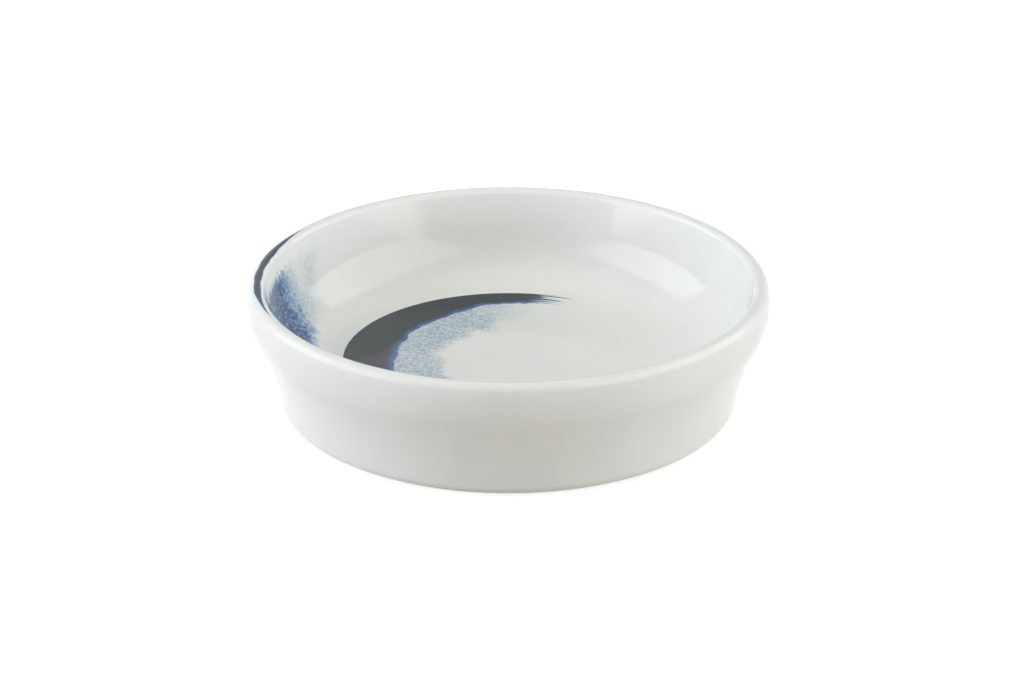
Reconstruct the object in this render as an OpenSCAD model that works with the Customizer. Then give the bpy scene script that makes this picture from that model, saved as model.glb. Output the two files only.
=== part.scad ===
// Soy sauce dish of glazed porcelain. One pressed and fired body has a flat floor, a
// flared wall with a hollow neck, a round lip and a recessed base on a bare foot ring.
// A glaze coat, a glazed recess and a brushed print lie on it as layers that seat exactly,
// because every layer is a parallel offset of the same tangent arcs.
// Lengths are in millimetres and angles in degrees. +Z is up, and the origin is the
// middle of the circle that the dish stands on.

/* [Dish] */
// Diameter over the widest line of the wall, the belly below the lip
rim_d = 80; // [60:0.5:120]
// Height of the lip's crest over the table
dish_h = 20; // [15:0.5:27]
// Radius of the belly, the swelling below the lip
belly_r = 9; // [8:0.1:12]
// Angle above level at which the belly's arc hands over to the lip's
belly_turn = 11.5; // [2:0.5:40]
// How far the belly overhangs the lower wall, where that wall's line meets the table
overhang = 5; // [3:0.1:6.5]
// Lean of the lower wall from upright
wall_lean = 8.5; // [3:0.5:16]
// Height at which the straight lower wall ends and the hollow neck begins
neck_z = 2.2; // [1.8:0.1:6]
// Radius of the rounded edge between the lower wall and the foot
foot_edge_r = 2; // [0.5:0.1:2.5]

/* [Lip and well] */
// Radius of the lip's outer half
lip_out_r = 1.4; // [0.6:0.1:3]
// Radius of the lip's inner half
lip_in_r = 1.1; // [0.6:0.1:2]
// Lean of the well's wall from upright
well_lean = 14.5; // [5:0.5:25]
// Radius of the curve between the well's wall and its floor
well_r = 9; // [2:0.5:10]
// Thickness of the floor, glazes included
floor_t = 3.8; // [2:0.1:6]

/* [Foot and recess] */
// Width of the flat bare ring that the dish stands on
foot_land = 2.4; // [1:0.1:5]
// Depth of the recess under the floor
recess_h = 3; // [1.6:0.1:5]
// Lean of the recess wall from upright
recess_lean = 20; // [5:1:40]
// Radius of the recess wall's turn into its ceiling
recess_r = 1.6; // [0.4:0.1:2]
// Radius of the foot ring's inner edge
foot_in_r = 0.8; // [0.6:0.05:1.2]
// Height to which the glaze is wiped off the foot
wipe_z = 0.6; // [0.4:0.05:1.2]

/* [Glaze and print] */
// Thickness of the glaze
glaze_t = 0.3; // [0.2:0.01:0.45]
// Depth that the print sinks into the glaze
print_t = 0.15; // [0.08:0.01:0.18]
// Direction of the crescent's widest part, counted from +X
crescent_turn = 165; // [0:5:355]
// Gap from the edge of the flat floor in to the crescent
crescent_gap = 1.5; // [0:0.1:6]
// Width of the crescent at its widest
crescent_w = 8; // [2:0.5:12]
// Angle from the crescent's widest part to where each of its tips would close
crescent_reach = 118; // [60:1:150]
// Direction of the wash's widest part, counted from +X
wash_turn = 190; // [0:5:355]
// Width of the wash at its widest, measured level
wash_w = 7.5; // [3:0.5:12]
// Angle from the wash's widest part to where each of its ends would close
wash_reach = 60; // [40:1:120]
// Width of the line painted along the crest, measured level
rim_line_w = 1.1; // [0.4:0.1:1.6]
// Direction in which the painted line starts, counted from +X
rim_line_from = 142; // [0:1:359]
// Angle that the painted line runs through
rim_line_run = 66; // [20:1:180]

/* [Hidden] */
$fn = 144;
// Angle between the points of an arc in the section
arc_step = 6;
// Overrun of cuts past the faces that they open
over = 1;
// Level gap from the top of the wash to the lip's inner half
wash_gap = 0.5;
// Length trimmed off the tips of a brushed shape, so that they end blunt as a brush leaves them
tip_trim = 2.4;

rim_r = rim_d / 2;
// Belly and lip: the lip's outer arc lies inside the belly's and touches it at belly_turn
belly_x = rim_r - belly_r;
crest_r = belly_x + (belly_r - lip_out_r) * cos(belly_turn);
lip_c = [crest_r, dish_h - lip_out_r];
belly_c = lip_c - (belly_r - lip_out_r) * dir(belly_turn);
// Lower wall: a straight line from wall_foot on the table, with out_dir square to it
wall_foot = [rim_r - overhang, 0];
out_dir = dir(-wall_lean);
neck_low = wall_foot + neck_z * [tan(wall_lean), 1];
// Neck: the one arc that leaves the lower wall at neck_low and touches the belly
neck_span = neck_low - belly_c;
neck_r = (neck_span * neck_span - belly_r * belly_r) / (2 * (belly_r - neck_span * out_dir));
neck_c = neck_low + neck_r * out_dir;
neck_turn = atan2(belly_c.y - neck_c.y, neck_c.x - belly_c.x);
// Foot edge: at every inset it touches the lower wall and the table, so the glaze thins out on it
edge_x = wall_foot.x - foot_edge_r * (1 - sin(wall_lean)) / cos(wall_lean);
function edge_at(inset) = [edge_x - inset * tan(wall_lean), foot_edge_r - inset];
// Well: the lip's inner arc, a leaning wall, a curve and a flat floor
floor_z = recess_h + floor_t;
inlip_c = [crest_r, dish_h - lip_in_r];
well_top = inlip_c + lip_in_r * dir(180 - well_lean);
well_z = floor_z + well_r;
well_c = [well_top.x - (well_r - (well_z - well_top.y) * sin(well_lean)) / cos(well_lean), well_z];
// Recess: the foot ring's inner edge, a leaning wall, a curve and a flat ceiling
land_x = edge_at(glaze_t).x - foot_land;
function land_at(inset) = [land_x + (inset - glaze_t) * tan(recess_lean), foot_in_r - inset];
recess_reach = land_at(0) * dir(recess_lean) - foot_in_r;
vault_z = recess_h - recess_r;
vault_c = [(recess_reach - recess_r - vault_z * sin(recess_lean)) / cos(recess_lean), vault_z];
// Prints
crescent_out_r = well_c.x - crescent_gap;
wash_out_r = well_top.x - wash_gap;
far_r = rim_r + over;

function dir(angle) = [cos(angle), sin(angle)];
// How far back the inner circle of a brushed shape lies, for its width and its reach
function brush_shift(outer_r, width, reach) =
    width * (2 * outer_r - width) / (2 * (outer_r * (1 - cos(reach)) - width));

// Points of an arc, the first one left out where another stretch already ends there
function arc(centre, radius, from, to, first = 0) =
    let (steps = ceil(abs(to - from) / arc_step))
    [for (i = [first:steps]) centre + radius * dir(from + (to - from) * i / steps)];
// Outer form from the foot up to the crest, set in by inset all over
function outer_line(inset) = concat(
    arc(edge_at(inset), foot_edge_r - inset, -90, -wall_lean),
    arc(neck_c, neck_r + inset, 180 - wall_lean, 180 - neck_turn),
    arc(belly_c, belly_r - inset, -neck_turn, belly_turn, 1),
    arc(lip_c, lip_out_r - inset, belly_turn, 90, 1)
);
// Well from the crest down to the middle of the floor, grown by inset into the dish
function well_line(inset) = concat(
    arc(inlip_c, lip_in_r - inset, 90, 180 - well_lean, 1),
    arc(well_c, well_r + inset, -well_lean, -90),
    [[0, floor_z - inset]]
);
// Recess from the middle of its ceiling out to the foot ring, grown by inset
function recess_line(inset) = concat(
    [[0, recess_h + inset]],
    arc(vault_c, recess_r + inset, 90, recess_lean),
    arc(land_at(inset), foot_in_r - inset, 180 + recess_lean, 270)
);

// Half section between the outer form and the well, without the recess
module dish_half(inset) {
    polygon(concat([[0, 0]], outer_line(inset), well_line(inset)));
}

// Half section of the recess, open below
module recess_half(inset) {
    polygon(concat(recess_line(inset), [[land_at(inset).x, -over], [0, -over]]));
}

// Everything of a half section above the line where the glaze is wiped off
module above_wipe() {
    translate([0, wipe_z]) square([far_r, dish_h]);
}

// The layer that the print takes up, under the face of the well and of the lip
module well_layer() {
    polygon(concat(
        [[crest_r, dish_h]],
        well_line(0),
        [for (i = [len(well_line(print_t)) - 1:-1:0]) well_line(print_t)[i]],
        [[crest_r, dish_h - print_t]]
    ));
}
module lip_layer() {
    difference() {
        dish_half(0);
        dish_half(print_t);
    }
}

// Plan of a brushed shape: wide in the middle, with tapering ends, blunt at the tips
module brush_plan(outer_r, width, reach, turn) {
    shift = brush_shift(outer_r, width, reach);
    rotate(turn)
        intersection() {
            difference() {
                circle(r = outer_r);
                translate([-shift, 0]) circle(r = outer_r - width + shift);
            }
            translate([outer_r * cos(reach) + tip_trim, -far_r]) square([2 * far_r, 2 * far_r]);
        }
}
module crescent_plan() {
    brush_plan(crescent_out_r, crescent_w, crescent_reach, crescent_turn);
}
module wash_plan() {
    difference() {
        brush_plan(wash_out_r, wash_w, wash_reach, wash_turn);
        crescent_plan();
    }
}

// A print in the well: the layer where it lies over its plan
module well_print() {
    intersection() {
        rotate_extrude() well_layer();
        translate([0, 0, vault_z]) linear_extrude(height = dish_h) children();
    }
}
module crescent_solid() {
    well_print() crescent_plan();
}
module wash_solid() {
    well_print() wash_plan();
}
module rim_line_solid() {
    rotate([0, 0, rim_line_from])
        rotate_extrude(angle = rim_line_run)
            intersection() {
                lip_layer();
                translate([crest_r - rim_line_w / 2, dish_h - lip_out_r])
                    square([rim_line_w, lip_out_r + over]);
            }
}

module porcelain_body() {
    color("#E9E6DC")
        rotate_extrude()
            difference() {
                dish_half(glaze_t);
                recess_half(glaze_t);
            }
}

module glaze_coat() {
    color("#F1F2EF")
        difference() {
            rotate_extrude()
                difference() {
                    intersection() {
                        dish_half(0);
                        above_wipe();
                    }
                    dish_half(glaze_t);
                }
            crescent_solid();
            wash_solid();
            rim_line_solid();
        }
}

module base_glaze() {
    color("#EEF0ED")
        rotate_extrude()
            difference() {
                intersection() {
                    recess_half(glaze_t);
                    above_wipe();
                }
                recess_half(0);
            }
}

module crescent_print() {
    color("#43515A") crescent_solid();
}

module wash_print() {
    color("#A6B5BB") wash_solid();
}

module rim_line_print() {
    color("#3F4C56") rim_line_solid();
}

porcelain_body();
glaze_coat();
base_glaze();
crescent_print();
wash_print();
rim_line_print();
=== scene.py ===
# %% [markdown]
# # A glazed soy sauce dish
# A soy dish is a single piece of pressed porcelain. It is fired bare, dipped in glaze, wiped
# clean on its foot and fired again, with a brushed print melted into the glaze. This lesson
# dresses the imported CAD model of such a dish. The CAD model is the frame: it says how wide and
# how high everything is, and every visible piece is made new around it, in metres.

# %% The frame
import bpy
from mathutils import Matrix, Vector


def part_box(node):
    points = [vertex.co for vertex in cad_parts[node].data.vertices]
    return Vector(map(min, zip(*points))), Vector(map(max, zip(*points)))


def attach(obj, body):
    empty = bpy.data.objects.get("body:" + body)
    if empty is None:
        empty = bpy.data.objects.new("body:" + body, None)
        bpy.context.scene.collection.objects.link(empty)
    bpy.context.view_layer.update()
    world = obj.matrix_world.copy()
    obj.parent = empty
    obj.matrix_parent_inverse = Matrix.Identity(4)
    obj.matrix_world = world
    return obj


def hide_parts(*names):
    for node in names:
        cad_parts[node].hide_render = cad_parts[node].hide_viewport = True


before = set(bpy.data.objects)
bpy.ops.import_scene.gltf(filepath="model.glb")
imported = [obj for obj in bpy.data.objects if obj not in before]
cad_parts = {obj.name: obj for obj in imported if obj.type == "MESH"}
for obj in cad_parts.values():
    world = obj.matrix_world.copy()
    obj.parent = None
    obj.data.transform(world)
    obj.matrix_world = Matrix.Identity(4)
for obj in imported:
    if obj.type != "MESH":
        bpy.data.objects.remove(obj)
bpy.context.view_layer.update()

# %% [markdown]
# Sizes that two models share are read, not typed again. The widest line of the wall, the crest of
# the lip, the level of the floor, the ceiling of the recess and the line where the glaze was
# wiped off all show up as corners of the CAD nodes' boxes, so they are taken from there.

# %% Sizes that the frame gives
import math

import bpy
from mathutils import Vector

mm = 0.001
coat_low, coat_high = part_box("glaze_coat")
body_high, recess_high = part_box("porcelain_body")[1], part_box("base_glaze")[1]
rim_r = (coat_high.x - coat_low.x) / 2
dish_h = coat_high.z
glaze_t = dish_h - body_high.z
floor_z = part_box("crescent_print")[1].z
recess_h = recess_high.z - glaze_t
wipe_z = coat_low.z
print(f"rim radius {rim_r / mm:.2f}, height {dish_h / mm:.2f}, glaze {glaze_t / mm:.2f} mm")
print(f"floor at {floor_z / mm:.2f}, recess {recess_h / mm:.2f}, wipe line at {wipe_z / mm:.2f} mm")

# %% [markdown]
# The rest of the section can't be seen in a box: the radii of its arcs and the leans of its
# walls. These are the same named sizes as in the part's source.
#
# A potter's section is a chain of arcs and straight lines that run into each other without a
# corner. Where two arcs touch, their centres lie on one line with the touching point, and where
# an arc meets a line, its centre lies square to the line's end. That is all the geometry below.

# %% Sizes of the section
belly_r, belly_turn = 9 * mm, 11.5
overhang, wall_lean = 5 * mm, 8.5
neck_z, foot_edge_r = 2.2 * mm, 2 * mm
lip_out_r, lip_in_r = 1.4 * mm, 1.1 * mm
well_lean, well_r = 14.5, 9 * mm
foot_land, foot_in_r = 2.4 * mm, 0.8 * mm
recess_lean, recess_r = 20, 1.6 * mm


def heading(angle):
    return Vector((math.cos(math.radians(angle)), math.sin(math.radians(angle))))


def tangent(angle):
    return math.tan(math.radians(angle))


crest_x = rim_r - belly_r + (belly_r - lip_out_r) * heading(belly_turn).x
lip_out_c = Vector((crest_x, dish_h - lip_out_r))
lip_in_c = Vector((crest_x, dish_h - lip_in_r))
belly_c = lip_out_c - (belly_r - lip_out_r) * heading(belly_turn)
neck_low = Vector((rim_r - overhang + neck_z * tangent(wall_lean), neck_z))
neck_span = neck_low - belly_c
neck_gap = belly_r - neck_span.dot(heading(-wall_lean))
neck_r = (neck_span.dot(neck_span) - belly_r ** 2) / 2 / neck_gap
neck_c = neck_low + neck_r * heading(-wall_lean)
neck_turn = math.degrees(math.atan2(belly_c.y - neck_c.y, neck_c.x - belly_c.x))
wall_way = heading(wall_lean)
foot_edge_x = rim_r - overhang - foot_edge_r * (1 - wall_way.y) / wall_way.x
well_top = lip_in_c + lip_in_r * heading(180 - well_lean)
well_z = floor_z + well_r
well_way = heading(well_lean)
well_x = well_top.x - (well_r - (well_z - well_top.y) * well_way.y) / well_way.x
well_c = Vector((well_x, well_z))
land_x = foot_edge_x - glaze_t * tangent(wall_lean) - foot_land
print(f"crest at radius {crest_x / mm:.2f}, neck radius {neck_r / mm:.2f} mm")
print(f"flat floor to radius {well_x / mm:.2f} mm")

# %% [markdown]
# A layer of glaze follows the clay at an even distance, so each line of the section is written
# with an `inset`: 0 is the outer face of the glaze, and `glaze_t` is the clay under it. An arc
# keeps its centre and only its radius changes. At the foot the arcs slide down with the inset
# instead, so that every layer stands on the table and the glaze thins out there, as wiped glaze
# does.
#
# Arcs are drawn with one point for every degree and a half, fine enough for a close-up of the
# gloss.

# %% Lines of the section
arc_step = 1.5
floor_shares = (0, 0.1, 0.3, 0.5, 0.7, 0.85, 0.95)
wall_shares = (0.25, 0.5, 0.75)
ceiling_shares = (0.9, 0.6, 0.3, 0)


def arc(centre, radius, start, end, first=0):
    steps = max(2, math.ceil(abs(end - start) / arc_step))
    turns = [start + (end - start) * i / steps for i in range(first, steps + 1)]
    return [centre + radius * heading(turn) for turn in turns]


def well_line(inset):
    """From the middle of the floor out over the curve and up the wall to the crest."""
    floor = [Vector((well_c.x * share, floor_z - inset)) for share in floor_shares]
    curve = arc(well_c, well_r + inset, -90, -well_lean)
    lip = arc(lip_in_c, lip_in_r - inset, 180 - well_lean, 90)
    wall = [curve[-1].lerp(lip[0], share) for share in wall_shares]
    return floor + curve + wall + lip


def outer_line(inset):
    """From the crest down over the belly and the hollow neck to the start of the foot's edge."""
    lip = arc(lip_out_c, lip_out_r - inset, 90, belly_turn, 1)
    belly = arc(belly_c, belly_r - inset, belly_turn, -neck_turn, 1)
    neck = arc(neck_c, neck_r + inset, 180 - neck_turn, 180 - wall_lean, 1)
    return lip + belly + neck


def foot_edge(inset, end):
    centre = Vector((foot_edge_x - inset * tangent(wall_lean), foot_edge_r - inset))
    return arc(centre, foot_edge_r - inset, -wall_lean, end)


def recess_edge(inset, start):
    centre = Vector((land_x + (inset - glaze_t) * tangent(recess_lean), foot_in_r - inset))
    return arc(centre, foot_in_r - inset, start, 180 + recess_lean)


recess_way = heading(recess_lean)
recess_edge_c = Vector((land_x - glaze_t * tangent(recess_lean), foot_in_r))
recess_reach = recess_edge_c.dot(recess_way) - foot_in_r
vault_z = recess_h - recess_r
vault_x = (recess_reach - recess_r - vault_z * recess_way.y) / recess_way.x


def recess_line(inset):
    """From the recess wall in over its curve to the middle of the ceiling."""
    curve = arc(Vector((vault_x, vault_z)), recess_r + inset, recess_lean, 90)
    ceiling = [Vector((vault_x * share, recess_h + inset)) for share in ceiling_shares]
    return curve + ceiling


counts = [len(line(0)) for line in (well_line, outer_line, recess_line)]
print("points in the well, outside and below:", counts)

# %% [markdown]
# A dish is round because it is made on a turning head, and the mesh is made the same way. Blender
# has a Screw modifier and a Spin tool for that. Writing the rings out one by one gives two things
# that they don't: a section may differ a little from turn to turn, and the two ends on the axis
# close in one clean point each, so the mesh is a watertight solid.

# %% The turning head
wheel_steps = 288


def turn_on_wheel(name, section_at):
    """A solid turned round Z. section_at(turn) gives the points there, both ends on the axis."""
    turns = [2 * math.pi * i / wheel_steps for i in range(wheel_steps)]
    sections = [section_at(turn) for turn in turns]
    rings = len(sections[0]) - 2
    points = [(0, 0, sections[0][0].y)]
    for k in range(1, rings + 1):
        for turn, section in zip(turns, sections):
            radius, height = section[k]
            points.append((radius * math.cos(turn), radius * math.sin(turn), height))
    points.append((0, 0, sections[0][-1].y))
    last = len(points) - 1
    faces = []
    for i in range(wheel_steps):
        j = (i + 1) % wheel_steps
        faces.append((0, 1 + i, 1 + j))
        for k in range(rings - 1):
            low, high = 1 + k * wheel_steps, 1 + (k + 1) * wheel_steps
            faces.append((low + i, high + i, high + j, low + j))
        top = 1 + (rings - 1) * wheel_steps
        faces.append((top + j, top + i, last))
    mesh = bpy.data.meshes.new(name)
    mesh.from_pydata(points, [], faces)
    mesh.shade_smooth()
    piece = bpy.data.objects.new(name, mesh)
    bpy.context.scene.collection.objects.link(piece)
    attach(piece, "root")
    print(name, "has", len(points), "points and", len(faces), "faces")
    return piece


# %% [markdown]
# ## The fired body
# The clay shows only on the foot ring: a flat ground land with a rounded edge on each side. It is
# still made whole, from the floor under the glaze to the ceiling of the recess, because a piece
# that is a closed solid stays right when somebody cuts or measures it.

# %% The body's section
def body_section(turn):
    foot = foot_edge(glaze_t, -90) + recess_edge(glaze_t, 270)
    return well_line(glaze_t) + outer_line(glaze_t) + foot + recess_line(glaze_t)


fired_body = turn_on_wheel("fired_body", body_section)
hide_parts("porcelain_body")

# %% [markdown]
# ## The glaze over the dish
# Glaze is a real layer, about a third of a millimetre thick, so it gets a real skin with an inner
# and an outer face. A Solidify modifier could thicken a single face, but it would leave a square
# edge at the foot, where the real glaze is round. The skin's inner face lies a hair inside the
# clay, as glaze melts into clay, and so the two faces never flicker against each other.
#
# Where it was wiped off with a sponge it ends in a soft bead. The sponge never runs quite true,
# so the line rises and falls by a tenth of a millimetre: three slow waves that close after a full
# turn.

# %% The skin's section
bite = 0.02 * mm
bead_drop, bead_swell, bead_steps = 0.22 * mm, 0.05 * mm, 8
wipe_rise, waver = 0.1 * mm, 0.09 * mm
wipe_waves = ((3, 0.4, 1.0), (7, 2.1, 0.6), (13, 0.0, 0.4))


def wiped_at(turn):
    """Height of the wiped line, from waves with a count, a start and a share each."""
    swing = sum(share * math.sin(count * turn + start) for count, start, share in wipe_waves)
    return wipe_z + wipe_rise + waver * swing / 2


def bead(start, swell, end):
    """A soft bead: a curve from the glaze's face, swelling out a little, in to the clay."""
    shares = [i / bead_steps for i in range(1, bead_steps)]
    return [start.lerp(swell, s).lerp(swell.lerp(end, s), s) for s in shares]


def foot_edge_even(inset, end, count=24):
    """The foot's edge in a fixed count of points, so that every turn's section has as many."""
    centre = Vector((foot_edge_x - inset * tangent(wall_lean), foot_edge_r - inset))
    turns = [-wall_lean + (end + wall_lean) * i / count for i in range(1, count + 1)]
    return [centre + (foot_edge_r - inset) * heading(turn) for turn in turns]


def skin_section(turn):
    cut = wiped_at(turn)
    face_end = math.degrees(math.asin(cut / foot_edge_r - 1))
    inner_r = foot_edge_r - glaze_t - bite
    inner_end = math.degrees(math.asin((cut - bead_drop) / inner_r - 1))
    face = foot_edge_even(0, face_end)
    back = foot_edge_even(glaze_t + bite, inner_end)
    swell = face[-1] + bead_swell * heading(face_end) + bead_drop * heading(face_end - 90)
    edge = bead(face[-1], swell, back[-1])
    inner = outer_line(glaze_t + bite)[::-1] + well_line(glaze_t + bite)[::-1]
    return well_line(0) + outer_line(0) + face + edge + back[::-1] + inner


glaze_skin = turn_on_wheel("glaze_skin", skin_section)
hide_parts("glaze_coat", "crescent_print", "wash_print", "rim_line_print")

# %% [markdown]
# ## The glaze in the recess
# The recess is glazed too, and the bare foot ring parts the two fields. This skin runs from the
# bead on the ring's inner edge over the recess wall to the middle of the ceiling.

# %% The recess skin
recess_phase, recess_steps, recess_drop = 1.7, 6, 0.6 * bead_drop
back_turns = (232, 226, 220, 214, 208, 180 + recess_lean)


def recess_skin_section(turn):
    cut = wiped_at(turn + recess_phase)
    face_end = 180 + math.degrees(math.asin(1 - cut / foot_in_r))
    sweep = 180 + recess_lean - face_end
    face_turns = [face_end + sweep * i / recess_steps for i in range(recess_steps + 1)]
    face = [recess_edge_c + foot_in_r * heading(a) for a in face_turns]
    inset = glaze_t + bite
    back_c = Vector((land_x + bite * tangent(recess_lean), foot_in_r - inset))
    back = [back_c + (foot_in_r - inset) * heading(a) for a in back_turns]
    swell = face[0] + bead_swell * heading(face_end) - Vector((0, recess_drop))
    edge = bead(back[0], swell, face[0])
    return recess_line(inset)[::-1] + back[::-1] + edge + face + recess_line(0)


recess_skin = turn_on_wheel("recess_skin", recess_skin_section)
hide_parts("base_glaze")

# %% [markdown]
# ## Wiring materials
# A material is a graph of nodes. It can be wired by hand in the shader editor, or by a script as
# here, where small helpers keep the cells short. `wire` adds any node and plugs in what it is
# given, `calc` adds one Math node, `fade` is a soft step from 0 to 1 between two values, and
# `grain` is cloudy noise. `new_material` starts a graph, and `screen_colour` reads a colour as a
# screen shows it.
#
# Lengths inside the materials are in millimetres, taken from the object's own coordinates, so
# that a stroke of 6 mm is 6 mm on the dish from wherever it is seen.

# %% Helpers for the graphs
def wire(tree, kind, inputs=None, output=0, **settings):
    made = tree.nodes.new(kind)
    for name, value in settings.items():
        setattr(made, name, value)
    for name, value in (inputs or {}).items():
        if isinstance(value, bpy.types.NodeSocket):
            tree.links.new(value, made.inputs[name])
        else:
            made.inputs[name].default_value = value
    return made.outputs[output]


def calc(tree, operation, *values):
    return wire(tree, "ShaderNodeMath", dict(enumerate(values)), operation=operation)


def fade(tree, value, start, end, low=0.0, high=1.0):
    ends = {"Value": value, "From Min": start, "From Max": end, "To Min": low, "To Max": high}
    return wire(tree, "ShaderNodeMapRange", ends, interpolation_type="SMOOTHSTEP")


def grain(tree, place, size, detail=2.0, roughness=0.5):
    """Cloudy noise from 0 to 1 whose clouds are about size millimetres wide."""
    values = {"Vector": place, "Scale": 1 / size, "Detail": detail, "Roughness": roughness}
    return wire(tree, "ShaderNodeTexNoise", values)


def new_material(name):
    material = bpy.data.materials.new(name)
    material.use_nodes = True
    tree = material.node_tree
    shader = tree.nodes["Principled BSDF"]
    metres = wire(tree, "ShaderNodeTexCoord", output="Object")
    scaled = {"Vector": metres, "Scale": 1 / mm}
    place = wire(tree, "ShaderNodeVectorMath", scaled, operation="SCALE")
    return material, tree, shader, place


def screen_colour(red, green, blue):
    """A colour as a screen shows it, 0 to 255, turned into the light that it stands for."""
    shares = [value / 255 for value in (red, green, blue)]
    return [s / 12.92 if s <= 0.04045 else ((s + 0.055) / 1.055) ** 2.4 for s in shares] + [1]


print("mid grey 128 is", round(screen_colour(128, 128, 128)[0], 3), "as light")

# %% [markdown]
# ## Where the brush went
# The print on this dish is a plain brush exercise: one crescent on the floor, a wash on the wall
# and a line on the lip. Each lies where its CAD solid lies. The plans of crescent and wash are
# worked out here as the source does it: a circle, less a second circle that is shifted back.
#
# A print is often laid on with a picture. Here it comes from nodes, which stay sharp in a
# close-up and need no unwrapping. The graph builds one number, the amount of pigment at a point.
# A brush leaves a hard edge where it is pressed and a soft one where the water runs, and pigment
# settles in grains. At the end one colour ramp turns that amount into a colour, from bare glaze
# over pale blue and cobalt to near black, as the real pigment does when it lies thicker.

# %% Plans of the brush strokes
crescent_turn, crescent_gap, crescent_w, crescent_reach = 165, 1.5, 8, 118
wash_turn, wash_gap, wash_w, wash_reach = 190, 0.5, 7.5, 60
line_from, line_run, line_w = 142, 66, 1.1


def brush_shift(outer, width, reach):
    return width * (2 * outer - width) / 2 / (outer * (1 - heading(reach).x) - width)


crescent_out = well_c.x / mm - crescent_gap
crescent_shift = brush_shift(crescent_out, crescent_w, crescent_reach)
wash_out = well_top.x / mm - wash_gap
wash_shift = brush_shift(wash_out, wash_w, wash_reach)
print(f"crescent from radius {crescent_out:.1f}, wash from radius {wash_out:.1f} mm")


def stroke_frame(tree, place, turn):
    """Plan position along and across a direction, and the turn round the dish away from it."""
    kind, operation = "ShaderNodeVectorMath", "DOT_PRODUCT"
    ways = [{0: place, 1: (*heading(way), 0)} for way in (turn, turn + 90)]
    along, across = (wire(tree, kind, way, 1, operation=operation) for way in ways)
    return along, across, calc(tree, "ARCTAN2", across, along)


def plan_distance(tree, along, across):
    squares = calc(tree, "MULTIPLY_ADD", along, along, calc(tree, "MULTIPLY", across, across))
    return calc(tree, "SQRT", squares)


def brush_sides(tree, place, turn, outer, width, shift):
    """Distance in from the outer circle, distance out from the inner one, and the turn."""
    along, across, turned = stroke_frame(tree, place, turn)
    out_side = calc(tree, "SUBTRACT", outer, plan_distance(tree, along, across))
    back = calc(tree, "ADD", along, shift)
    in_side = calc(tree, "SUBTRACT", plan_distance(tree, back, across), outer - width + shift)
    return out_side, in_side, turned


# %% [markdown]
# The crescent starts as a loaded brush and runs dry towards the back right, where fewer and fewer
# bristles still carry pigment: noise that is drawn out along the stroke gives their streaks. Its
# outer side is crisp. On its inner side, which was wet, the dark core gives way to a narrow band
# of pure cobalt, and then the water has carried a pale, grainy bloom into the floor. The sides
# wander with slow noise, as a hand does, and the paper-thin edges with fine noise, as bristles
# do.

# %% The dry tail of the crescent
dry_from, dry_to, dry_least, dry_most = 1.05, 1.95, 0.1, 0.72
hairs_along, hairs_across, hair_edge = 1.5, 3.2, (-0.03, 0.08)


def dry_bristles(tree, out_side, turned):
    """1 where the bristles touch. In the tail only streaks along the stroke are left."""
    run = wire(tree, "ShaderNodeCombineXYZ", {"X": calc(tree, "MULTIPLY", turned, hairs_along),
                                             "Y": calc(tree, "MULTIPLY", out_side, hairs_across)})
    hairs = wire(tree, "ShaderNodeTexNoise", {"Vector": run, "Scale": 1.0, "Detail": 3.0})
    back = calc(tree, "MULTIPLY", turned, -1.0)
    dry = fade(tree, back, dry_from, dry_to, dry_least, dry_most)
    return fade(tree, calc(tree, "SUBTRACT", hairs, dry), *hair_edge)


print("the crescent runs dry over", round(math.degrees(dry_to - dry_from)), "degrees")

# %% [markdown]
# The wet side is read off one distance, that from the shifted inner circle. Noise is added to the
# distance before it is used, so that the edges on that side wander. Core, cobalt band and bloom
# are then three soft steps along it, each further out than the last. The widths of these steps
# are in millimetres, and turns along a stroke are in radians, as the Arctan2 node gives them.

# %% The crescent
cobalt_level, bloom_level = 0.58, 0.2
hand_wander, bristle_wander, wet_inset = 3.6, 0.8, 0.4
thin_run, thin_shift = (1.2, 1.75), 0.9
crisp_edge, core_rise, band_rise = (0.0, 0.2), (0.5, 1.7), (-0.3, 0.35)
bloom_turn, bloom_ends, bloom_start = 0.1, (1.75, 1.0), (0.0, 0.6)
bloom_w, bloom_hand, bloom_bristles, bloom_rise = 5.0, 7.0, 3.0, (-8.5, -5.0)
bloom_grains = (0.3, 0.7, 0.35, 1.5)


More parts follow.
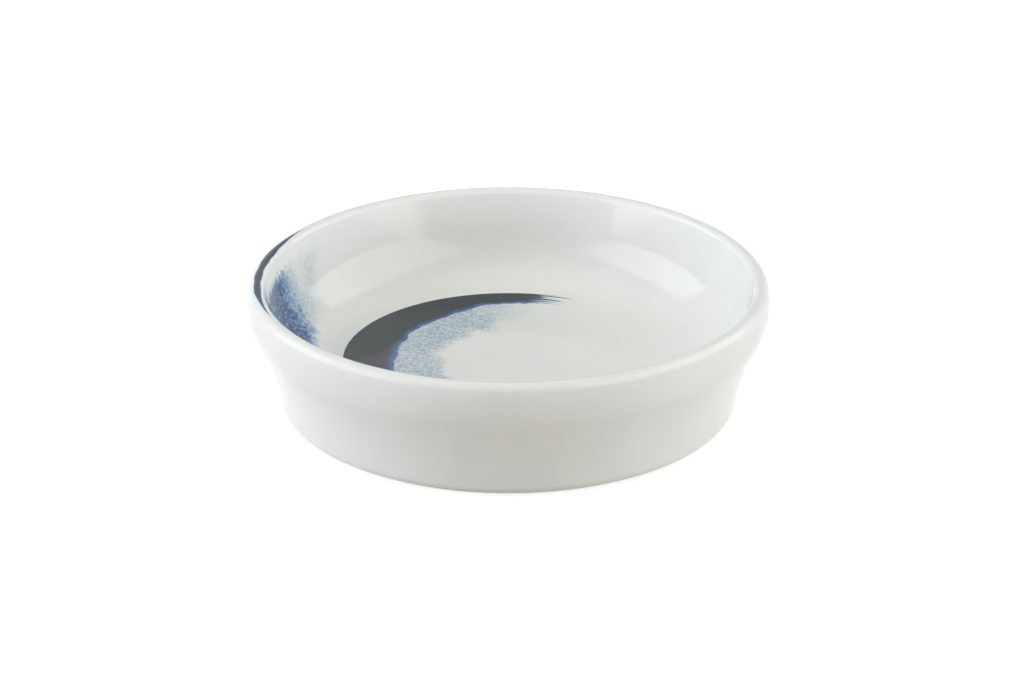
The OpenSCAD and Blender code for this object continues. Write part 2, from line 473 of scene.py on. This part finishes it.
def crescent_pigment(tree, place, soft, fine, grit):
    sizes = (crescent_turn, crescent_out, crescent_w, crescent_shift)
    out_side, in_side, turned = brush_sides(tree, place, *sizes)
    wander = calc(tree, "MULTIPLY_ADD", soft, hand_wander, -hand_wander / 2)
    wander = calc(tree, "MULTIPLY_ADD", fine, bristle_wander, wander)
    wet_side = calc(tree, "SUBTRACT", calc(tree, "ADD", in_side, wander), wet_inset)
    thin = fade(tree, calc(tree, "MULTIPLY", turned, -1.0), *thin_run)
    wet_side = calc(tree, "MULTIPLY_ADD", thin, thin_shift, wet_side)
    bristles = dry_bristles(tree, out_side, turned)
    touch = calc(tree, "MULTIPLY", fade(tree, out_side, *crisp_edge), bristles)
    core = fade(tree, wet_side, *core_rise, 0.0, 1 - cobalt_level)
    band = fade(tree, wet_side, *band_rise, 0.0, cobalt_level)
    stroke = calc(tree, "MULTIPLY", calc(tree, "ADD", core, band), touch)
    off_turn = calc(tree, "ABSOLUTE", calc(tree, "SUBTRACT", turned, bloom_turn))
    blot = calc(tree, "MULTIPLY", fine, bloom_bristles)
    blot = calc(tree, "MULTIPLY_ADD", soft, bloom_hand, blot)
    blot = calc(tree, "ADD", calc(tree, "SUBTRACT", in_side, bloom_w), blot)
    bloom = calc(tree, "MULTIPLY", fade(tree, blot, *bloom_rise), fade(tree, off_turn, *bloom_ends))
    bloom = calc(tree, "MULTIPLY", bloom, bloom_level)
    bloom = calc(tree, "MULTIPLY", bloom, fade(tree, grit, *bloom_grains))
    bloom = calc(tree, "MULTIPLY", bloom, fade(tree, out_side, *bloom_start))
    return calc(tree, "MAXIMUM", stroke, bloom)


print("the core starts", core_rise[0] - band_rise[0], "mm behind the cobalt's edge")

# %% [markdown]
# The wash was pulled down the wall with a wet brush. It has one dark pull in it and pales to both
# sides in streaks that run down the wall, as water does. The streaks are noise again, drawn out
# down the wall this time: many clouds round the dish and hardly any down it.

# %% The wash
runs_round, runs_down, run_wander = 14.0, 0.12, (4.5, -2.2)
wash_low, wash_high, wash_ends = (-0.4, 2.6), (0.25, 0.8), (1.1, 0.55)
wash_fringe, wash_end_wander = 0.8, 0.5
pull_at, pull_ragged, pull_fade, pull_levels = -0.3, 0.3, (0.49, 0.1), (0.3, 0.86)
wash_grains = (0.3, 0.7, 0.45, 1.15)


def wash_pigment(tree, place, soft, fine, grit):
    sizes = (wash_turn, wash_out, wash_w, wash_shift)
    out_side, in_side, turned = brush_sides(tree, place, *sizes)
    run = wire(tree, "ShaderNodeCombineXYZ", {"X": calc(tree, "MULTIPLY", turned, runs_round),
                                             "Y": calc(tree, "MULTIPLY", out_side, runs_down)})
    runs = wire(tree, "ShaderNodeTexNoise", {"Vector": run, "Scale": 1.0, "Detail": 4.0})
    wander = calc(tree, "MULTIPLY_ADD", runs, *run_wander)
    low_edge = fade(tree, calc(tree, "ADD", in_side, wander), *wash_low)
    high_edge = fade(tree, calc(tree, "MULTIPLY_ADD", fine, wash_fringe, out_side), *wash_high)
    side = calc(tree, "MULTIPLY_ADD", soft, wash_end_wander, calc(tree, "ABSOLUTE", turned))
    ends = fade(tree, side, *wash_ends)
    amount = calc(tree, "MULTIPLY", calc(tree, "MULTIPLY", low_edge, high_edge), ends)
    off = calc(tree, "ABSOLUTE", calc(tree, "SUBTRACT", turned, pull_at))
    off = calc(tree, "MULTIPLY_ADD", runs, pull_ragged, off)
    pull = fade(tree, off, *pull_fade, *pull_levels)
    amount = calc(tree, "MULTIPLY", amount, pull)
    return calc(tree, "MULTIPLY", amount, fade(tree, grit, *wash_grains))


print("the dark pull lies", round(math.degrees(pull_at)), "degrees from the wash's middle")

# %% [markdown]
# The line on the lip is drawn with the tip of the brush: dark along its middle, cobalt at its
# sides, and thin at both ends. Strokes in the well and the line would also appear elsewhere on
# the dish, where the plan is the same. A wide cone that runs inside the wall keeps the strokes to
# the well's side, and a level plane under the lip's crest keeps the line to the lip.

# %% The line on the lip
parting_lean, parting_r = 0.4, 31.4
line_full, line_wander, line_fringe = 0.25, (1.0, 0.5), 0.2
line_edge, line_core, line_core_level = (0.02, 0.14), (0.15, 0.4), 0.36


def split_axes(tree, place):
    return (wire(tree, "ShaderNodeSeparateXYZ", {"Vector": place}, axis) for axis in (0, 1, 2))


def well_side(tree, place):
    """1 on the well's side of a slanted line inside the wall and 0 outside, and the height."""
    x, y, z = split_axes(tree, place)
    inside = calc(tree, "MULTIPLY_ADD", z, parting_lean, parting_r)
    inside = calc(tree, "SUBTRACT", inside, plan_distance(tree, x, y))
    return calc(tree, "GREATER_THAN", inside, 0.0), z


def line_pigment(tree, place, z, soft, fine):
    along, across, turned = stroke_frame(tree, place, line_from + line_run / 2)
    half_run = math.radians(line_run / 2)
    taper = fade(tree, calc(tree, "ABSOLUTE", turned), half_run, half_run * line_full)
    off = calc(tree, "SUBTRACT", plan_distance(tree, along, across), crest_x / mm)
    width = calc(tree, "MULTIPLY", taper, line_w / 2)
    width = calc(tree, "MULTIPLY", width, calc(tree, "MULTIPLY_ADD", soft, *line_wander))
    rough = calc(tree, "MULTIPLY", calc(tree, "MULTIPLY", fine, line_fringe), taper)
    depth = calc(tree, "ADD", rough, calc(tree, "SUBTRACT", width, calc(tree, "ABSOLUTE", off)))
    edge = fade(tree, depth, *line_edge, 0.0, cobalt_level)
    mark = calc(tree, "ADD", edge, fade(tree, depth, *line_core, 0.0, line_core_level))
    above = calc(tree, "GREATER_THAN", z, (dish_h - lip_out_r) / mm)
    return calc(tree, "MULTIPLY", mark, above)


print(f"the line is {crest_x / mm * math.radians(line_run):.0f} mm long")

# %% [markdown]
# ## The gloss
# Porcelain glaze is glass over white clay: an almost white colour under a smooth clear surface.
# The Principled shader covers both, with a low roughness and the reflectivity of glass. Three
# small things keep it from looking like plastic: the surface waves by a few hundredths of a
# millimetre, the glaze is a touch greener in soft clouds, where it lies thicker, and a few faint
# specks lie in it.

# %% Glaze as a base for both skins
glaze_white = screen_colour(241, 242, 239)
glaze_pool = screen_colour(234, 238, 236)
speck_tint = screen_colour(172, 166, 150)
wave_size, ripple_size, ripple_share, wave_height = 14.0, 1.6, 0.04, 0.25 * mm
speck_gap, speck_edge, speck_level = 6.25, (0.024, 0.012), 0.16
pool_size, pool_edge, pool_level = 9.0, (0.35, 0.65), 0.35


def lay_glaze(tree, shader, place):
    """Gloss and waves on the shader. Gives back where glaze pools and where its specks lie."""
    shader.inputs["Roughness"].default_value = 0.07
    shader.inputs["IOR"].default_value = 1.47
    slow = grain(tree, place, wave_size, 1.0)
    ripples = grain(tree, place, ripple_size, 2.0)
    waves = {"Height": calc(tree, "MULTIPLY_ADD", ripples, ripple_share, slow),
             "Strength": 0.35, "Distance": wave_height}
    tree.links.new(wire(tree, "ShaderNodeBump", waves), shader.inputs["Normal"])
    cells = wire(tree, "ShaderNodeTexVoronoi", {"Vector": place, "Scale": 1 / speck_gap}, 0)
    specks = fade(tree, cells, *speck_edge, 0.0, speck_level)
    clouds = fade(tree, grain(tree, place, pool_size, 2.0), *pool_edge, 0.0, pool_level)
    return clouds, specks


print("the glaze's waves are", wave_size, "mm wide, and its specks", speck_gap, "mm apart")


def mix_colour(tree, share, first, second):
    """A Mix node for colours. Its sockets for them are the seventh and the eighth."""
    made = tree.nodes.new("ShaderNodeMix")
    made.data_type = "RGBA"
    for socket, value in ((0, share), (6, first), (7, second)):
        if isinstance(value, bpy.types.NodeSocket):
            tree.links.new(value, made.inputs[socket])
        else:
            made.inputs[socket].default_value = value
    return made.outputs[2]


# %% [markdown]
# The glaze of the dish carries the print. The amounts of pigment on the floor, on the wall and on
# the lip are brought together by taking the greatest one, so that a pale bloom never lightens the
# dark stroke that it meets. Three noises serve all the strokes: a slow one for the hand, a fine
# one for the bristles and a gritty one for the grains of pigment.

# %% The printed glaze
hand_size, bristle_size, grain_size = 6.5, 1.1, 0.55
bare_edge = (0.2, 0.0)
pigment_steps = [
    (0.00, (241, 242, 239)), (0.12, (208, 219, 224)), (0.25, (168, 190, 207)),
    (0.40, (104, 146, 190)), (0.58, (46, 92, 150)), (0.75, (24, 62, 98)),
    (0.90, (10, 40, 60)), (1.00, (8, 34, 45)),
]


def pigment_colour(tree, amount):
    ramp = tree.nodes.new("ShaderNodeValToRGB")
    tree.links.new(amount, ramp.inputs[0])
    steps = ramp.color_ramp.elements
    while len(steps) < len(pigment_steps):
        steps.new(0.5)
    for step, (share, colour) in zip(steps, pigment_steps):
        step.position = share
        step.color = screen_colour(*colour)
    return ramp.outputs[0]


glaze, tree, shader, place = new_material("printed_glaze")
clouds, specks = lay_glaze(tree, shader, place)
soft = grain(tree, place, hand_size, 1.0)
fine = grain(tree, place, bristle_size, 4.0, 0.65)
grit = grain(tree, place, grain_size, 3.0, 0.7)
in_well, level = well_side(tree, place)
on_floor = crescent_pigment(tree, place, soft, fine, grit)
on_wall = wash_pigment(tree, place, soft, fine, grit)
amount = calc(tree, "MULTIPLY", calc(tree, "MAXIMUM", on_floor, on_wall), in_well)
amount = calc(tree, "MAXIMUM", amount, line_pigment(tree, place, level, soft, fine))
tone = pigment_colour(tree, amount)
bare = fade(tree, amount, *bare_edge)
pooled = mix_colour(tree, calc(tree, "MULTIPLY", clouds, bare), tone, glaze_pool)
tree.links.new(mix_colour(tree, specks, pooled, speck_tint), shader.inputs["Base Color"])
glaze_skin.data.materials.append(glaze)
print("the printed glaze has", len(tree.nodes), "nodes")

# %% [markdown]
# The glaze under the dish is the same glaze without a print. It gets a material of its own, as
# the nodes of the print would cost time there and show nothing.

# %% The plain glaze of the recess
plain_glaze, tree, shader, place = new_material("recess_glaze")
clouds, specks = lay_glaze(tree, shader, place)
pooled = mix_colour(tree, clouds, glaze_white, glaze_pool)
tree.links.new(mix_colour(tree, specks, pooled, speck_tint), shader.inputs["Base Color"])
recess_skin.data.materials.append(plain_glaze)
print("the recess glaze has", len(tree.nodes), "nodes")

# %% [markdown]
# ## Bare clay
# Fired porcelain without glaze is matt and warmer than the glaze. Its foot is ground flat after
# the firing, which leaves fine rings, and it picks up a little grey from the tables it stands on.
# The rings and the sand of the clay are too fine to be worth a mesh, so they are bump: noise along
# the distance from the axis gives the rings, and a second noise gives the sand.

# %% The biscuit
clay_pale, clay_dark = screen_colour(226, 222, 212), screen_colour(212, 207, 195)
clay_worn, worn_level = screen_colour(172, 168, 160), 0.5
sand_size, sand_edge = 0.25, (0.4, 0.7)
ring_count, ring_scale, ring_share, ring_height = 5.0, 1.6, 0.6, 0.06 * mm
worn_size, worn_edge, worn_reach = 3.0, (0.45, 0.75), (0.5, 0.0)

biscuit, tree, shader, place = new_material("bare_biscuit")
shader.inputs["Roughness"].default_value = 0.72
x, y, z = split_axes(tree, place)
ring = calc(tree, "MULTIPLY", plan_distance(tree, x, y), ring_count)
ring = wire(tree, "ShaderNodeCombineXYZ", {"X": ring})
rings = wire(tree, "ShaderNodeTexNoise", {"Vector": ring, "Scale": ring_scale, "Detail": 3.0})
sand = grain(tree, place, sand_size, 3.0, 0.6)
grooves = {"Height": calc(tree, "MULTIPLY_ADD", rings, ring_share, sand),
           "Strength": 0.5, "Distance": ring_height}
tree.links.new(wire(tree, "ShaderNodeBump", grooves), shader.inputs["Normal"])
worn = fade(tree, grain(tree, place, worn_size, 3.0), *worn_edge)
worn = calc(tree, "MULTIPLY", worn, fade(tree, z, *worn_reach))
clay = mix_colour(tree, fade(tree, sand, *sand_edge), clay_pale, clay_dark)
clay = mix_colour(tree, calc(tree, "MULTIPLY", worn, worn_level), clay, clay_worn)
tree.links.new(clay, shader.inputs["Base Color"])
fired_body.data.materials.append(biscuit)
print("the biscuit has", len(tree.nodes), "nodes")

# %% [markdown]
# ## The table and the light
# The dish stands on a pale table in a white room. The table's own colour is a plain pale grey,
# and only the camera and reflections see it shine white: that comes from the Light Path node, and
# it puts no extra light on the dish. Its shadow stays. The white backdrop works in the same way,
# so all the light on the dish comes from lamps.
#
# A photographer turns the lamps until the gloss looks right, and then adds cards and fills until
# the colour does. Blender lets one part the two: a lamp's ray visibility says whether it shows in
# glossy surfaces, in plain ones or in both. Two big soft boxes, left and right, are only
# mirrored: they are what shines in the curve of the well, and their size and place give the
# highlights their shape. The fills only light the glaze's white. A low one and a higher one come
# from each side, as the sides of the dish are its brightest part. Two weaker warm ones leave the
# front a little darker, and one overhead lights the floor of the well. Together they stay under
# the level at which the white would clip.

# %% The table
def seen_directly(tree):
    """1 for rays that look: from the camera, in a reflection or through glass."""
    path = tree.nodes.new("ShaderNodeLightPath")
    rays = ("Is Camera Ray", "Is Glossy Ray", "Is Transmission Ray")
    looks = [path.outputs[ray] for ray in rays]
    return calc(tree, "MAXIMUM", calc(tree, "MAXIMUM", looks[0], looks[1]), looks[2])


table_mesh = bpy.data.meshes.new("table")
half_table = 1.5
corners = [(-half_table, -half_table, 0), (half_table, -half_table, 0)]
corners += [(half_table, half_table, 0), (-half_table, half_table, 0)]
table_mesh.from_pydata(corners, [], [(0, 1, 2, 3)])
table = bpy.data.objects.new("table", table_mesh)
bpy.context.scene.collection.objects.link(table)
table_paint, tree, shader, place = new_material("table_paint")
shader.inputs["Base Color"].default_value = screen_colour(188, 185, 178)
shader.inputs["Roughness"].default_value = 0.9
shader.inputs["Specular IOR Level"].default_value = 0.1
shader.inputs["Emission Color"].default_value = (1, 1, 1, 1)
glow = 0.75
white_glow = calc(tree, "MULTIPLY", seen_directly(tree), glow)
tree.links.new(white_glow, shader.inputs["Emission Strength"])
table_mesh.materials.append(table_paint)
print("the table is", 2 * half_table, "m wide")

# %% The room
world = bpy.data.worlds.new("white_room")
bpy.context.scene.world = world
world.use_nodes = True
backdrop = world.node_tree.nodes["Background"]
backdrop.inputs["Color"].default_value = (1, 1, 1, 1)
world.node_tree.links.new(seen_directly(world.node_tree), backdrop.inputs["Strength"])


def soft_box(name, around, above, distance, width, height, shine, tint, mirrored):
    """An area light that faces the dish, shine times as bright as white paper.

    A mirrored box shows in the gloss and lights nothing else, and the others do the reverse.
    """
    lamp = bpy.data.lights.new(name, "AREA")
    lamp.shape = "RECTANGLE"
    lamp.size, lamp.size_y = width, height
    lamp.energy = shine * width * height * math.pi
    lamp.color = tint
    box = bpy.data.objects.new(name, lamp)
    box.visible_glossy, box.visible_diffuse = mirrored, not mirrored
    level, (side, depth) = math.radians(above), heading(around)
    way = Vector((side * math.cos(level), depth * math.cos(level), math.sin(level)))
    box.location = way * distance
    box.rotation_euler = way.to_track_quat("Z", "Y").to_euler()
    bpy.context.scene.collection.objects.link(box)
    print(name, f"gives {lamp.energy:.2f} W")


cool, plain, warm = (0.89, 0.93, 1.0), (1.0, 0.99, 0.95), (1.0, 0.9, 0.76)
soft_box("left_gloss", 187, 27, 0.7, 0.91, 0.59, 1.9, cool, True)
soft_box("right_gloss", -8, 32, 0.75, 1.3, 0.8, 1.6, plain, True)
soft_box("left_low_fill", 194, 8, 0.8, 0.7, 0.2, 6.6, cool, False)
soft_box("left_fill", 190, 31, 0.8, 0.6, 0.4, 3.3, cool, False)
soft_box("right_low_fill", -14, 8, 0.8, 0.7, 0.2, 7.1, cool, False)
soft_box("right_fill", -20, 42, 0.8, 0.5, 0.4, 1.75, plain, False)
soft_box("front_right_fill", -48, 8, 0.8, 0.4, 0.2, 1.7, warm, False)
soft_box("front_fill", 270, 38, 0.8, 0.5, 0.3, 1.8, warm, False)
soft_box("top_fill", 90, 80, 0.8, 0.5, 0.5, 3.05, plain, False)

# %% [markdown]
# ## The camera
# The camera stands a little over half a metre away and looks down by about 24 degrees. Distance
# and lens go together: the lens is long, so near and far sides of the dish look almost equally
# wide.

# %% The camera
camera_distance, camera_above, lens = 0.56, 23.7, 128.4
look_at = Vector((0.00003, 0, 0.0098))
slope = math.radians(camera_above)
camera_data = bpy.data.cameras.new("camera")
camera_data.sensor_width, camera_data.lens = 36, lens
camera_data.clip_start, camera_data.clip_end = 0.01, 10
camera = bpy.data.objects.new("camera", camera_data)
backward = Vector((0, -math.cos(slope), math.sin(slope)))
camera.location = look_at + camera_distance * backward
camera.rotation_euler = backward.to_track_quat("Z", "Y").to_euler()
bpy.context.scene.collection.objects.link(camera)
bpy.context.scene.camera = camera
bpy.context.scene.view_settings.view_transform = "Standard"
print(f"the camera is {camera_distance} m away with a lens of {lens} mm")
